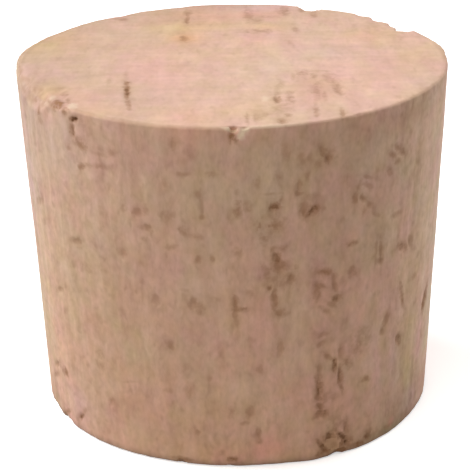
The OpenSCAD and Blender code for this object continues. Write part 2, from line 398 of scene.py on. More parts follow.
# Brown stains round old pores, which leave no pit. One of negative strength is a pale spot, where a
# scale has lately come off; the one above the notch is painted light over the shade in the notch.
flank_stains = [
    # angle, height, width, length, lean, strength
    (-75, 35.8, 1.5, 0.8, 0, 0.3),
    (-70, 35.5, 1.0, 0.9, 0, 0.25),
    (-64.5, 36, 1.3, 0.7, 0, 0.3),
    (-60.5, 35.2, 0.8, 1.0, 70, 0.6),
    (-61.2, 35.3, 0.5, 0.8, 0, 0.3),
    (-59.7, 34.3, 1.2, 0.6, 0, 0.3),
    (-57, 36.6, 1.2, 0.5, 0, -0.3),
    (-51.5, 36.7, 0.8, 1.6, 80, 1.2),
    (-47.6, 36.5, 1.1, 0.8, 0, 0.7),
    (-42.4, 33.6, 1.6, 1.1, 0, 0.6),
    (-40.3, 34, 0.9, 0.7, 0, 0.3),
    (-47, 32.8, 0.8, 0.6, 0, 0.35),
    (-42, 31.25, 0.6, 1.0, 75, 0.6),
    (-38, 31.6, 0.5, 3.2, 84, 0.35),
    (-35.5, 33, 0.4, 1.6, 90, 0.25),
    (-50, 30.8, 1.2, 0.8, 0, 0.2),
    (-41.5, 27.6, 1.2, 0.9, 0, 0.2),
    (-37, 27.6, 0.6, 1.2, 0, 0.2),
    (-46.5, 22.2, 0.5, 1.5, 75, 0.25),
    (-44, 20, 1.4, 0.9, 0, 0.4),
    (-38, 21, 0.7, 1.4, 0, 0.15),
    (-59.8, 6.1, 0.9, 1.5, 60, 0.8),
    (-61.5, 1.2, 0.5, 1.6, 62, 0.7),
    (-50.2, 3, 0.4, 1.4, 50, 0.3),
    (-42, 9.3, 1.3, 1.0, 0, 0.35),
    (-41.5, 10.8, 1.0, 1.4, 0, 0.35),
    (-32, 33.4, 1.3, 0.7, 0, 0.35),
    (-29.7, 27.8, 0.9, 0.8, 0, 0.3),
    (-23.3, 28.1, 0.8, 1.0, 0, 0.3),
    (-21.9, 25.6, 0.4, 0.8, 0, 0.35),
    (-24, 24.9, 0.8, 0.4, 0, 0.3),
    (-17.5, 30.8, 0.6, 1.4, 0, 0.25),
    (-12.5, 32.15, 1.6, 0.4, 0, 0.3),
    (-10.5, 34.3, 1.2, 1.2, 0, 0.3),
    (-17.5, 27.6, 1.3, 1.0, 0, 0.35),
    (-13.2, 26.2, 0.9, 1.3, 0, 0.5),
    (-9.3, 25.6, 1.0, 0.6, 0, 0.35),
    (-17, 24.4, 1.2, 0.7, 0, 0.35),
    (-13.8, 19.85, 0.9, 0.3, 0, 0.2),
    (-9.3, 18, 0.9, 1.2, 0, 0.4),
    (-14.2, 11, 0.8, 1.6, 0, 0.25),
    (-12.9, 8.6, 0.7, 1.6, 0, 0.35),
    (-19, 8.4, 1.2, 0.5, 0, 0.25),
    (-31.5, 8.5, 0.3, 1.5, 75, 0.25),
    (-31, 7.4, 0.4, 1.3, -10, 0.25),
    (-16.5, 0.6, 1.7, 0.4, 0, 0.9),
    (-1.7, 0.9, 0.9, 0.6, 0, 0.9),
    (-4.7, 1.6, 0.5, 0.6, 0, 0.3),
    (-1.5, 6.3, 0.9, 1.4, 0, 0.35),
    (1.8, 5.1, 0.8, 0.4, 0, 0.35),
    (5.9, 3.1, 0.6, 0.8, 0, 0.4),
    (1.6, 17.9, 1.4, 0.5, 0, 0.6),
    (3.5, 19.4, 0.9, 0.9, 0, 0.35),
    (8.3, 21.3, 0.8, 1.6, 0, 0.45),
    # Painted light on the shaded upper wall of the notch.
    (-0.8, 37, 1.1, 0.7, 0, -1.2),
    (-0.5, 36.05, 0.5, 0.9, 10, 1.1),
    (0.2, 35.75, 0.5, 0.9, -35, 0.7),
    (2.1, 36.4, 0.8, 1.5, 35, -1.1),
    (0.7, 28.6, 0.8, 1.4, 0, 0.6),
    (2.8, 28.8, 1.0, 1.0, 0, 0.5),
    (0.7, 30.2, 0.5, 0.6, 0, 0.45),
    (2.5, 30.1, 0.5, 0.6, 0, 0.25),
    (5.3, 31.4, 0.8, 1.2, 0, 0.3),
    (-5.7, 32.2, 1.0, 0.6, 0, 0.35),
    (11, 31.5, 0.7, 1.3, 0, 0.35),
    (9, 30.05, 1.6, 0.3, 0, 0.3),
    (12.6, 34.3, 0.7, 2.2, 0, 0.25),
    (16.4, 33.5, 0.8, 1.8, 0, 0.35),
    (8.8, 26.7, 2.2, 1.5, 0, 0.6),
    (7.3, 25.4, 0.8, 1.5, 0, 0.4),
    (8.3, 26.4, 1.8, 2.8, 0, 0.3),
    (10.9, 24.25, 1.3, 0.6, 0, 0.45),
    (0.6, 24, 1.0, 1.0, 0, 0.35),
    (11.5, 20.8, 3.0, 1.9, 0, 0.35),
    (11.3, 22.3, 2.6, 1.0, 0, 0.5),
    (10.1, 18.9, 0.6, 3.2, 0, 0.4),
    (11.5, 17.2, 1.4, 0.9, 0, 0.45),
    (13.8, 19.4, 0.4, 2.6, 0, 0.2),
    (21.3, 32.6, 0.8, 0.8, 0, 0.25),
    (29.6, 31.2, 0.8, 2.6, 0, 0.25),
    (18.4, 31.4, 0.5, 1.2, 0, 0.35),
    (20, 29.3, 1.6, 0.8, 0, 0.25),
    (17.5, 28, 0.9, 1.5, 0, 0.4),
    (22, 27.9, 1.0, 0.7, 0, 0.3),
    (33.2, 29.5, 0.5, 1.5, 25, 0.4),
    (35.2, 26.5, 0.6, 0.9, 0, 0.35),
    (39.7, 25.8, 0.4, 1.4, -60, 0.35),
    (48.5, 25, 1.6, 0.6, 0, 0.35),
    (31.8, 23.5, 1.2, 0.6, 0, 0.6),
    (40, 21.6, 0.4, 2.0, 0, 0.4),
    (24.3, 20.9, 1.0, 0.9, 0, 0.6),
    (21.6, 19.2, 0.8, 2.8, 0, 0.45),
    (23.5, 16.9, 0.5, 1.6, -55, 0.45),
    (58.6, 16.8, 1.9, 0.7, 0, 0.35),
    (68.6, 12.2, 0.9, 1.8, 30, 0.6),
    (52.3, 15.3, 0.6, 3.2, -18, 0.7),
    (36, 12.3, 2.0, 2.4, 0, 0.4),
    (31.5, 10.3, 0.9, 1.0, 0, 0.6),
    (26.5, 7.1, 2.2, 1.6, 0, 0.3),
    (38.2, 7.7, 1.1, 0.8, 0, 0.6),
    (28, 4.1, 1.6, 2.4, 0, 0.35),
    (29.6, 8.2, 0.5, 2.6, 0, 0.6),
    (24, 12.2, 0.5, 1.4, -20, 0.4),
    (22.2, 8.2, 0.6, 4.0, 0, 0.4),
    (27.4, 1.5, 2.0, 1.2, 0, 0.3),
    (27.5, 4.2, 1.6, 1.2, 0, 0.3),
    (38.4, 1.3, 1.3, 0.6, -30, 0.5),
    (47, 1.0, 1.8, 0.5, 0, 0.5),
    (24.1, 33.3, 1.4, 1.2, 0, 0.35),
    (24.3, 0.8, 1.5, 0.7, 0, 0.9),
    (29.3, 0.45, 1.4, 0.6, 0, 1.8),
    (29.8, 1.4, 0.9, 1.1, 0, 0.7),
    (35.4, 0.7, 1.6, 0.6, 0, 1.1),
    (43, 0.8, 2.2, 1.2, 0, 0.3),
    (58, 0.9, 3.0, 0.8, 0, 0.4),
]
face_stains = [
    # across, back, width, length, turn, strength
    (-10.2, -14.8, 0.4, 3.4, 4, 0.5),
    (-10.9, -5.5, 0.4, 3.6, 3, 0.2),
    (-10.7, -9.2, 0.5, 3.4, 2, 0.9),
    (-10.5, -12, 0.4, 3, 2, 0.7),
    (-17.4, -9.1, 1.2, 1.6, 0, 0.25),
    (-12.6, -7, 0.5, 3.0, 0, 0.25),
    (-16.8, -11.2, 0.6, 1.8, 0, 0.45),
    (-17.9, -12.2, 0.6, 1.2, 0, -0.5),
    (-15.7, -14.9, 0.9, 1.6, 0, -0.65),
    (-16.2, -13.2, 0.5, 1.8, 0, 0.45),
    (-17.3, -13.9, 1.4, 1.6, 0, 0.9),
    (-16.4, -15.9, 0.8, 1.0, 0, 0.45),
    (5.6, -13.5, 0.7, 4, 0, 0.45),
    (4.4, -11.2, 0.6, 2.8, 0, 0.3),
    (3.2, -13.6, 0.6, 1.4, 0, -0.5),
    (4.8, -16.8, 1.8, 2.4, 0, 0.25),
    (2.7, -18.7, 1.4, 2, 0, 0.25),
    (8.2, -4.5, 3.6, 0.8, 0, 0.25),
    (10.4, -9.5, 0.7, 6, 3, 0.25),
    (4.8, -8.8, 0.8, 2.4, 0, 0.3),
    (7.1, -5.2, 1, 2, 0, 0.35),
    (8.2, -6.4, 0.6, 2.5, 0, 0.35),
    (8.3, -11, 1, 5, 0, 0.35),
    (9, -12.6, 0.5, 3, 0, 0.3),
    (1.3, -19.8, 0.4, 2.8, 0, 0.45),
    (3.6, -21.9, 4.2, 0.7, 8, -0.5),
    (5.3, -18.8, 0.8, 1.4, 0, 0.4),
    (8, -17.6, 0.5, 3.6, 0, 0.4),
    (6.1, -6, 0.4, 2, 0, 0.25),
    (3.1, 10.8, 3.2, 1.2, 0, 0.35),
    (-5, 19, 0.8, 2.0, 0, 0.4),
    (-12.5, 16.6, 1.0, 1.6, 40, 0.45),
    (1.9, 17.3, 1.0, 4.2, 0, 0.4),
    (2.8, 15.4, 1.6, 2.0, 0, 0.3),
    (3.9, 16.6, 2.2, 1.0, 0, 0.25),
    (6, 19, 1.0, 3.0, 0, 0.45),
    (8, 19.3, 0.6, 2.0, 0, 0.5),
    (16, 11, 2.2, 5.0, 0, 0.15),
]

# Broad soft patches, rosier, yellower or paler than the rest: mostly where the bark grew so, and a
# few of painted light and shade, marked below. A negative share is the other way.
face_patches = [
    # across, back, half width, half length, rose, gold, pale
    # The first four patches are painted shade and light: darker to the left and the rear of the upper
    # face, lighter right of the middle.
    (-24, 2, 12, 18, 0, 0, -1.2),
    (-8, 24, 18, 13, 0, 0, -1.6),
    (9, -2, 6, 5, -0.3, 0, 0.6),
    (14, -13, 5, 5, -0.1, 0.1, 0.7),
    (8.3, -10.5, 2.6, 5, 1.1, 0, -1.0),
    (-8, -2, 5, 10, 0.7, 0.1, 0),
    (15, -5, 5, 8, 0.6, 0.1, -0.2),
    (-4.5, -19, 3, 3.5, 1.2, 0.1, 0.2),
    (-21.5, -11.5, 3.5, 4, 0.1, 0.2, -1.5),
    (2, -15, 4, 4, 0, 0, 0.4),
    (0.5, 17.5, 6, 3, 1.0, 0.3, 0),
    (-4.5, 13, 5.5, 2.6, -0.35, 1.2, 0.6),
    (-5, 8.5, 2, 3, 0.3, 1.4, 0),
    (-6, 18.5, 4, 3, -0.2, 0.6, 0),
    (-19, 8, 4, 5, -0.2, 1.2, 0),
    (-18.5, -10, 2, 2, 0, 1.0, 0),
    (15, 8.5, 3.5, 3.5, 0.3, 0.8, 0.3),
    (2.5, -14, 3.5, 6, -0.4, 0.4, 0),
    (10.6, -7, 2, 5, 0, 0, 0.9),
    (-17.4, -14, 0.9, 1, 0.3, -0.6, -2.5),
    (4, 12.5, 2.5, 1.8, 0, 0.9, 0.3),
    (-5.3, 8.6, 1.5, 1.4, 0.6, 0.4, 0.8),
    (18.8, -9.5, 2.5, 3, -0.5, 0, 0),
    (1, -17, 2.5, 3, 0, 0.6, 0),
    (-13, -16.5, 3, 2.5, -0.1, 0.9, 0),
    (19.5, 1, 2.5, 4, 0, 0.6, 0),
    (-15.5, -12.5, 3, 3.5, 0.9, 0, 0),
    (15, -7.5, 3, 2.5, 0.5, -0.5, 0),
    (2.5, 7, 4, 3, 0.8, 0, 0.3),
    (-5, -11.5, 2, 3, 0.5, -0.2, 0),
    (-10, -13, 4, 5, -0.4, 0.1, -0.5),
    (10, 2, 2, 2, -0.7, 0, 0),
    (3, 20.5, 5, 2, 0, -0.8, 0),
    (4, -3.5, 1.8, 4, 0, -0.5, 0),
    (0, 1.5, 4, 3, 0, 0.4, 0),
]
flank_patches = [
    # angle, height, spread in degrees, half height, rose, gold, pale
    (-62, 34, 12, 3, 0, -0.3, 0),
    (-70, 35.5, 9, 2.5, 0.2, 0, -1.3),
    (-53, 35.5, 4, 1.2, 0, 0, 0.8),
    (-82, 15, 12, 30, -0.8, -0.4, 0),
    (-5, 36.8, 30, 1.6, 0.6, 0, 0),
    (-12, 36.8, 6, 1.6, 1.2, 0, 0.3),
    (-34, 29, 10, 5, 0, 0, 0.7),
    (-48, 24.5, 5, 2.5, 0, 0.3, -0.7),
    (-62, 10, 9, 5, 0, 0, 0.8),
    (-28, 12, 10, 5, -0.3, 0.3, 0),
    (-53, 3, 13, 4, 0.5, -1.3, -0.3),
    # Painted shade along the foot on the left.
    (-72, 1, 9, 1.8, 0, 0, -1.4),
    (-5, 1.5, 13, 1.5, 0.2, 0.2, 0.8),
    (-12, 6, 6, 4, 0.3, 0, 0),
    (4, 29, 10, 4, -0.4, -0.15, 0.2),
    (0, 16, 7, 7, 0.2, 0.2, 0.5),
    (9, 2, 5, 1.3, 2, 0, -0.3),
    (24, 35, 14, 1.5, 0.4, 0, 0),
    (28, 17, 10, 5, 0.35, 0, 0.3),
    (36, 31.5, 6, 2.5, 0, 0, -0.6),
    (54, 29.5, 10, 4, -0.4, 0.3, -0.4),
    (54, 14, 9, 7, -0.2, 0.3, 0),
    (54, 4, 14, 5, -0.8, 0, -0.5),
    # Painted shade along the foot on the right: a dark band and line where the plug meets the table.
    (50, 1, 10, 2, -0.3, 0.2, -1.5),
    (46, 0.4, 12, 0.9, -1.0, 0.4, -1.3),
    (49, 1.3, 1.6, 0.6, 2.5, 0, 0),
    (42, 8.3, 2.2, 3, 0.3, -0.7, 0),
    (49.5, 8.5, 2.5, 3, 0.4, -1.0, 0),
    (44.7, 10.3, 2, 2.5, -0.6, 0.5, 0),
    (57.5, 7, 3.5, 3.5, -0.6, 1.0, 0),
    (65, 9, 3, 4, 0.8, -0.6, 0),
    (80, 8, 12, 12, -1.4, -0.5, 0.8),
    (78, 24, 8, 12, -1.0, -0.1, 0.3),
    (27.5, 1.6, 3, 2.2, -0.7, 0.8, -0.1),
    (0, 20, 12, 3.5, 0.5, -0.4, 0),
    (-25, 14, 8, 8, -0.4, 0, 0),
    (-48, 33, 5, 3, 0, -0.5, 0),
    (-74, 27, 6, 4, -0.3, -0.7, 0),
    (62, 2, 6, 2, -0.3, -0.9, -0.3),
    (49, 3, 7, 2.5, 0, 0, -0.5),
    (61, 30, 6, 3.5, -0.6, 0.2, 0),
    (60, 18, 6, 4, 0, 0, 0.5),
    (-52, 36.8, 2.2, 0.6, 0.3, -0.3, -1.8),
    (12, 16, 5, 3, 0.2, -0.2, -0.4),
]
rose_tone, gold_patch_tone, pale_tone = (0.055, -0.032, 0), (0, 0, -0.15), (0.1, 0.1, 0.1)


def scatter(i, key):
    """A value from 0 to 1: the decimals of 1000 sin(71 i + 37 key), in degrees."""
    return 1000 * math.sin(math.radians(71 * i + 37 * key)) % 1.0


class Marks:
    """Oval marks on the plug, each a centre with a direction across, one along and one
    outwards, its half sizes, its depth and its strength."""

    def __init__(self):
        self.rows = []

    def on_flank(self, angle, share, width, length, lean, depth, strength):
        """Adds a mark that lies in the flank at a share of the height."""
        a, tilt = math.radians(angle), math.radians(lean)
        r = bottom_r + (top_r - bottom_r) * share
        out = np.array([math.sin(a), -math.cos(a), 0])
        side = np.array([math.cos(a), math.sin(a), 0])
        up = np.array([0, 0, 1])
        across = math.cos(tilt) * side - math.sin(tilt) * up
        along = math.sin(tilt) * side + math.cos(tilt) * up
        centre = r * out + share * height * up
        sizes = [width / 2, length / 2, depth, strength]
        self.rows.append([*centre, *across, *along, *out, *sizes])

    def on_face(self, x, y, z, up, width, length, lean, depth, strength):
        """Adds a mark that lies in a flat face and leans from +Y towards -X."""
        t = math.radians(lean)
        across = [math.cos(t), math.sin(t), 0]
        along = [-math.sin(t), math.cos(t), 0]
        sizes = [width / 2, length / 2, depth, strength]
        self.rows.append([x, y, z, *across, *along, 0, 0, up, *sizes])

    def columns(self):
        """The marks as arrays: centre, across, along, out and the four sizes."""
        table = np.array(self.rows)
        return (*np.split(table[:, :12], 4, axis=1), *table[:, 12:].T)


pores = Marks()
for angle, share, width, length, lean, darkness in front_pores:
    pores.on_flank(angle, share, width, length, lean, pore_depth, darkness)
for i in range(rear_pores):
    angle = 90 + 180 * ((i * golden_share + rear_jitter * scatter(i, 1)) % 1.0)
    share = rear_start + rear_reach * (i + scatter(i, 2)) / rear_pores
    width = rear_pore_w * (smallest + size_range * scatter(i, 3))
    side_on = math.sin(math.radians(angle))
    length = width * (1 + 0.6 * scatter(i, 4) + 1.5 * side_on**4)
    pores.on_flank(angle, share, width, length, 90 * side_on**2, pore_depth, rear_darkness)
for x, y, width, length, lean, darkness in upper_pores:
    place = (x * top_r, y * top_r, height, 1)
    pores.on_face(*place, width, length, lean, face_pore_depth, darkness)
for i in range(lower_pores):
    angle = math.radians(i * golden_angle + lower_jitter * scatter(i, 5))
    out = lower_reach * bottom_r * math.sqrt((i + 1) / lower_pores)
    width = lower_pore_w * (smallest + size_range * scatter(i, 6))
    length = width * (1.5 + 3 * scatter(i, 7))
    place = (out * math.cos(angle), out * math.sin(angle), 0, -1)
    pores.on_face(*place, width, length, 0, face_pore_depth, lower_darkness)

stains = Marks()
for angle, z, width, length, lean, strength in flank_stains:
    stains.on_flank(angle, z / height, width, length, lean, 0, strength)
for x, y, width, length, lean, strength in face_stains:
    stains.on_face(x, y, height, 1, width, length, lean, 0, strength)


# How ragged the pores are, in half sizes of a pore, how rough and how deep their floors
# are, and how far off and how far turned away a point may be and still sink.
coarse_tear, fine_tear = 0.35, 0.2
coarse_grain, floor_grain, fine_grain = 0.6, 0.4, 0.3
floor_level, floor_roughness = 0.75, 0.4
least_depth, depth_by_width = 0.12, 0.3
least_share, share_by_darkness = 0.4, 0.7
pore_floor, pore_lip = 0.4, 1.3
pore_reach, pore_facing = 2, 0.6


def sink_pores(points):
    """Moves points into the pores. A point's distances across and along a pore, as shares
    of its half sizes, give an oval. Inside it the surface drops smoothly to the pore's
    floor, and noise tears the edge and roughens the floor. Wide and dark pores are the
    deeper ones."""
    torn = coarse_tear * soft_noise(points, coarse_grain, 3)
    torn = torn + fine_tear * soft_noise(points, fine_grain, 4)
    rough = floor_level + floor_roughness * soft_noise(points, floor_grain, 5)
    drop = np.zeros(points.shape[:-1])
    for centre, across, along, out, half_width, half_length, depth, darkness in zip(*pores.columns()):
        away = points - centre
        near = (np.abs(away @ out) < pore_reach) & (facing @ out > pore_facing)
        oval = np.hypot(away @ across / half_width, away @ along / half_length) + torn
        floor = min(depth, least_depth + depth_by_width * half_width)
        floor = floor * (least_share + share_by_darkness * darkness)
        pit = floor * rough * (1 - smooth_step(oval, pore_floor, pore_lip))
        drop = np.maximum(drop, np.where(near, pit, 0))
    return points - facing * drop[..., None]


# How rough the broken skin of the crumbled spots is.
coarse_crumbs, fine_crumbs = 0.18, 0.09


def crumble(points, chips, r, z, up):
    """Bites chips out of an edge. Each is a ball that reaches its depth in from the corner
    and its width along it, with a rough skin. Points inside it slide away from the corner,
    along the diagonal, to its far skin: the larger root of a square equation."""
    rough = coarse_crumbs * soft_noise(points, coarse_grain, 8)
    rough = rough + fine_crumbs * soft_noise(points, fine_grain, 9)
    for angle, width, bite in chips:
        ball_r = (width**2 / 4 + bite**2) / (2 * bite)
        off = (ball_r - bite) * math.sin(math.pi / 4)
        a = math.radians(angle)
        ball = [(r + off) * math.sin(a), -(r + off) * math.cos(a), z + up * off]
        inward = np.array([-math.sin(a), math.cos(a), -up]) * math.sqrt(0.5)
        away = points - ball
        ahead = away @ inward
        depth_inside = (ball_r + rough) ** 2 - np.sum(away**2, axis=-1)
        far_skin = np.sqrt(ahead**2 + np.maximum(depth_inside, 0)) - ahead
        points = points + inward * np.where(depth_inside > 0, far_skin, 0)[..., None]
    return points


growth_rings = ring_relief * soft_noise(ideal, ring_grain, 1)
fibres = fibre_relief * soft_noise(ideal, fibre_grain, 2)
form = ideal + facing * (growth_rings + fibres - inset)[..., None]
whole = out_of_round(sink_pores(form), rim_swells, top_r, rim_swell_fade, height)
whole = out_of_round(whole, foot_swells, bottom_r, foot_swell_fade, 0)
form = crumble(wear_edge(whole), upper_chips, top_r, height, 1)
form = crumble(form, lower_chips, bottom_r, 0, -1)
lost = np.linalg.norm(form - whole, axis=-1)
form[..., 2] = np.clip(form[..., 2], 0, height)

# Rows of four-sided faces, and a fan of triangles to the middle of each flat face.
ring_points = rows * columns
poles = [[0, 0, 0], [0, 0, height]]
vertices = np.concatenate([form.reshape(-1, 3), poles])
grid = np.arange(ring_points).reshape(rows, columns)
beside = np.roll(grid, -1, axis=1)
quads = np.stack([grid[:-1], beside[:-1], beside[1:], grid[1:]], axis=-1).reshape(-1, 4)
lower_fan = np.stack([beside[0], grid[0], np.full(columns, ring_points)], axis=1)
upper_fan = np.stack([grid[-1], beside[-1], np.full(columns, ring_points + 1)], axis=1)
corners = np.concatenate([quads.ravel(), lower_fan.ravel(), upper_fan.ravel()])
corner_counts = np.concatenate([np.full(len(quads), 4), np.full(2 * columns, 3)])
first_corners = np.concatenate([[0], np.cumsum(corner_counts)[:-1]])

mesh = bpy.data.meshes.new("cork_plug")
mesh.vertices.add(len(vertices))
mesh.vertices.foreach_set("co", (vertices * METRES).ravel())
mesh.loops.add(len(corners))
mesh.loops.foreach_set("vertex_index", corners)
mesh.polygons.add(len(corner_counts))
mesh.polygons.foreach_set("loop_start", first_corners)
mesh.polygons.foreach_set("loop_total", corner_counts)
mesh.polygons.foreach_set("use_smooth", np.ones(len(corner_counts), dtype=bool))
mesh.update(calc_edges=True)
mesh.validate()

ideal_points = np.concatenate([ideal.reshape(-1, 3), poles])
ideal_facing = np.concatenate([facing.reshape(-1, 3), [[0, 0, -1], [0, 0, 1]]])
middles = np.add.reduceat(ideal_points[corners], first_corners) / corner_counts[:, None]
middle_facing = np.add.reduceat(ideal_facing[corners], first_corners) / corner_counts[:, None]


# How far off and how far turned away the middle of a face may be and still be marked.
mark_reach, mark_facing = 2.5, 0.3


def places_in_marks(marks):
    """For each corner of each face its place in the mark nearest to the face: the distances
    across and along, in half sizes, and the mark's strength. Nearest is the mark whose
    oval the middle of the face lies deepest in or least far from."""
    centre, across, along, out, half_width, half_length, _, strength = marks.columns()
    least = np.full(len(middles), np.inf)
    nearest = np.zeros(len(middles), dtype=int)
    for i in range(len(centre)):
        away = middles - centre[i]
        oval = np.hypot(away @ across[i] / half_width[i], away @ along[i] / half_length[i])
        gap = (oval - 1) * math.sqrt(half_width[i] * half_length[i])
        same_side = (np.abs(away @ out[i]) < mark_reach) & (middle_facing @ out[i] > mark_facing)
        gap = np.where(same_side, gap, np.inf)
        nearest = np.where(gap < least, i, nearest)
        least = np.minimum(gap, least)
    mark = np.repeat(nearest, corner_counts)
    away = ideal_points[corners] - centre[mark]
    a = np.sum(away * across[mark], axis=1) / half_width[mark]
    b = np.sum(away * along[mark], axis=1) / half_length[mark]
    found = np.isfinite(np.repeat(least, corner_counts))
    return np.stack([a, b, np.where(found, strength[mark], 0)], axis=1)


for name, marks in (("pore", pores), ("stain", stains)):
    places = mesh.attributes.new(name, "FLOAT_VECTOR", "CORNER")
    places.data.foreach_set("vector", places_in_marks(marks).ravel())

# How far each point belongs to the flank, by the tilt of its normal, and how far it is torn or worn
# away, by the depth lost there to crumbling and wear.
flank_tilt, face_tilt = 0.25, 0.75
first_loss, full_loss = 0.02, 0.3
flank_share = 1 - smooth_step(np.abs(ideal_facing[:, 2]), flank_tilt, face_tilt)
mesh.attributes.new("flank", "FLOAT", "POINT").data.foreach_set("value", flank_share)
torn_share = smooth_step(np.append(lost.ravel(), [0, 0]), first_loss, full_loss)
mesh.attributes.new("torn", "FLOAT", "POINT").data.foreach_set("value", torn_share)


def patch_shares(across, along, patches):
    """The rose, the gold and the paleness at each point: over all patches, the sum of a
    bell curve in both directions times the patch's three shares."""
    total = np.zeros(across.shape + (3,))
    for u, v, half_u, half_v, *shares in patches:
        bell = np.exp(-(((across - u) / half_u) ** 2) - ((along - v) / half_v) ** 2)
        total = total + bell[:, None] * shares
    return total


x, y, z = ideal_points.T
on_flank = flank_share[:, None] * patch_shares(bearing_from(ideal_points, 0), z, flank_patches)
on_face = (1 - flank_share)[:, None] * patch_shares(x, y, face_patches)
tone = 1 + (on_flank + on_face) @ np.array([rose_tone, gold_patch_tone, pale_tone])
mesh.attributes.new("tone", "FLOAT_VECTOR", "POINT").data.foreach_set("vector", tone.ravel())


class Wire:
    """A socket of a material. Arithmetic on wires and numbers adds Math nodes."""

    def __init__(self, socket):
        self.socket = socket
        self.tree = socket.id_data

    def node(self, kind, settings, values, output=0):
        """Adds a node, makes its settings, then fills its inputs, by name or number, with
        numbers or wires. Returns one output."""
        added = self.tree.nodes.new(kind)
        for name, setting in settings.items():
            setattr(added, name, setting)
        for key, value in values.items():
            if isinstance(value, Wire):
                self.tree.links.new(value.socket, added.inputs[key])
            else:
                added.inputs[key].default_value = value
        return Wire(added.outputs[output])

    def math(self, operation, *values):
        """A Math node fed with numbers and wires."""
        return self.node("ShaderNodeMath", {"operation": operation}, dict(enumerate(values)))

    def __add__(self, other):
        return self.math("ADD", self, other)

    def __radd__(self, other):
        return self.math("ADD", other, self)

    def __sub__(self, other):
        return self.math("SUBTRACT", self, other)

    def __rsub__(self, other):
        return self.math("SUBTRACT", other, self)

    def __mul__(self, other):
        return self.math("MULTIPLY", self, other)

    def root(self):
        """The square root."""
        return self.math("SQRT", self)

    def blend(self, first, second):
        """The first number where the wire is 0, the second where it is 1."""
        return self.node("ShaderNodeMix", {"data_type": "FLOAT"}, {0: self, 2: first, 3: second})

    def mix(self, first, second):
        """The first colour where the wire is 0, the second where it is 1."""
        return self.node("ShaderNodeMix", {"data_type": "RGBA"}, {0: self, 6: first, 7: second}, 2)

    def step(self, start, end):
        """0 before start and 1 after end, smoothly."""
        settings = {"interpolation_type": "SMOOTHSTEP"}
        return self.node("ShaderNodeMapRange", settings, {0: self, 1: start, 2: end})

    def past(self, zone):
        """0 before a zone and 1 after it, smoothly. Its two ends are in millimetres."""
        start, end = zone
        return self.step(start * METRES, end * METRES)

    def times(self, other):
        """The colour or place multiplied by a number or, one by one, by three numbers."""
        settings = {"operation": "MULTIPLY"}
        return self.node("ShaderNodeVectorMath", settings, {0: self, 1: other})

    def part(self, number):
        """One of a vector's three numbers."""
        return self.node("ShaderNodeSeparateXYZ", {}, {0: self}, number)

    def attribute(self, name, output):
        """What the mesh says about this place under a name."""
        return self.node("ShaderNodeAttribute", {"attribute_name": name}, {}, output)

    def noise(self, cell, detail, roughness, shift):
        """Noise from 0 to 1 at this place, with a grain of a size in millimetres along X,
        Y and Z. The shift picks another stretch of it."""
        cells = self.times([1 / (size * METRES) for size in cell])
        cells = self.node("ShaderNodeVectorMath", {"operation": "ADD"}, {0: cells, 1: [shift] * 3})
        values = {"Vector": cells, "Scale": 1.0, "Detail": detail, "Roughness": roughness}
        return self.node("ShaderNodeTexNoise", {}, values)


# Bare cork, dry and matt: straw and rose in soft patches, faintly streaked up the
# flank, and brown in and round its pores, with shares and contrasts for their mixing.
face_straw = (0.70, 0.48, 0.34, 1)
face_rose = (0.715, 0.455, 0.365, 1)
flank_straw = (0.614, 0.416, 0.281, 1)
flank_rose = (0.65, 0.393, 0.294, 1)
stain_brown = (0.34, 0.175, 0.09, 1)
pore_brown = (0.17, 0.08, 0.04, 1)
fresh_cream_and_painted_light = (0.84, 0.66, 0.48, 1)
# A grey for the painted shadow along the foot.
foot_shadow_grey = (0.24, 0.19, 0.15, 1)
foot_shadow_grey_share = 0.35
halo_share, pit_share = 0.25, 0.85
darkest = (0.55, 1.25)
wide_share, near_share, close_share = 0.4, 0.35, 0.25
straw_to_rose = (0.36, 0.64)
face_gold, flank_gold = 0.6, 0.4

# Tones that the colours are multiplied by: near the foot, near the rim, on the left side,
# on the rear part of the upper face, and where the skin is golden or cool. Shade falls
# less on the red and more on the blue.
foot_tone = (1.035, 0.98, 0.96)
rim_tone = (0.985, 1.005, 1.02)
side_tone = (0.995, 1.0, 0.94)
back_tone = (1.0, 0.98, 0.92)
gold_tone = (1, 1, 0.88, 1)
cool_tone = (1, 1, 1.12, 1)
shade_tone = (0.85, 1, 1.15)
no_shade = (1, 1, 1)

# Zones of the skin and of painted shade and light, in millimetres: up the height, from left to right,
# from front to back or out from the axis.
foot_warmth_z = (0, 14)
rim_coolness_z = (14, 32)
gold_side_x, gold_side_z = (-15, -2), (14, 30)
edge_r = (21.7, 22.2)
foot_shadow_z = (0, 1.1)
shaded_low_right_x, shaded_low_right_z = (13, 20), (1, 7)
under_rim_x, under_rim_z = (6, 14), (32.5, 35.5)
front_lit_left_x, front_lit_right_x, front_lit_z = (-3, 6), (12, 18), (12, 26)
back_y = (9, 21)

# How much each pattern of noise and each zone lightens or darkens the skin. Grains and
# smudges have a share everywhere and one more on the flank.
streak_shade, wide_streak_shade, cloud_shade, ring_shade = 0.25, 0.26, 0.36, 0.17
grain_shade, flank_grain_shade = 0.14, 0.16
smudge_shade, flank_smudge_shade = 0.08, 0.04
edge_shade, foot_shadow_depth, shaded_low_right_shade = 0.1, 0.16, 0.18
under_rim_shade, front_lit_shade = 0.13, 0.09
middle = 0.5

# The relief of the skin for the light alone, and its sheen.
grain_relief, streak_relief, cloud_relief = 0.8, 0.5, 0.4
stain_relief, smudge_relief = 0.5, 0.3
relief_strength = 0.3
relief_height = 0.2 * METRES
skin_roughness = 0.9
skin_sheen = 0.2

cork = bpy.data.materials.new("natural_cork")
cork.use_nodes = True
skin = cork.node_tree.nodes["Principled BSDF"]
place = Wire(cork.node_tree.nodes.new("ShaderNodeTexCoord").outputs["Object"])
x, y, z = (place.part(axis) for axis in range(3))
flank = place.attribute("flank", "Fac")

